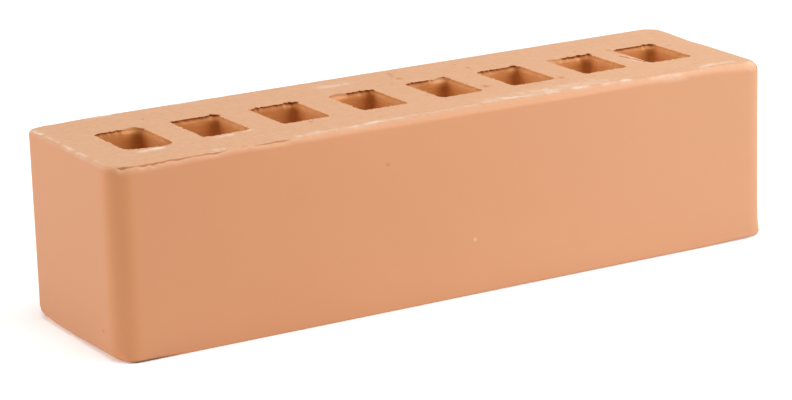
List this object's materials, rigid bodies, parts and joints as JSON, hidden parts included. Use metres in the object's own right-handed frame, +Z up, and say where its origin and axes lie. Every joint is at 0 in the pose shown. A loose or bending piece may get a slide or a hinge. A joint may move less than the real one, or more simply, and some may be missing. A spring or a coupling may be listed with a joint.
{
  "type": "clay brick",
  "caption": "Narrow fired-clay facing brick with rounded upright corners and a row of rectangular core holes running through it from bed to bed, for laying in mortar.",
  "frame": {"origin": "middle of the lower bed face, on the surface that the brick lies on", "axes": "+X along the brick's length, +Y from its front side to its back side, +Z up through the core holes"},
  "size_m": [0.25, 0.068, 0.0635],
  "materials": {
    "fired_clay": "matt, unglazed, pale peach-orange fired clay"
  },
  "bodies": {
    "root": {"brick": "fired_clay"}
  },
  "joints": []
}
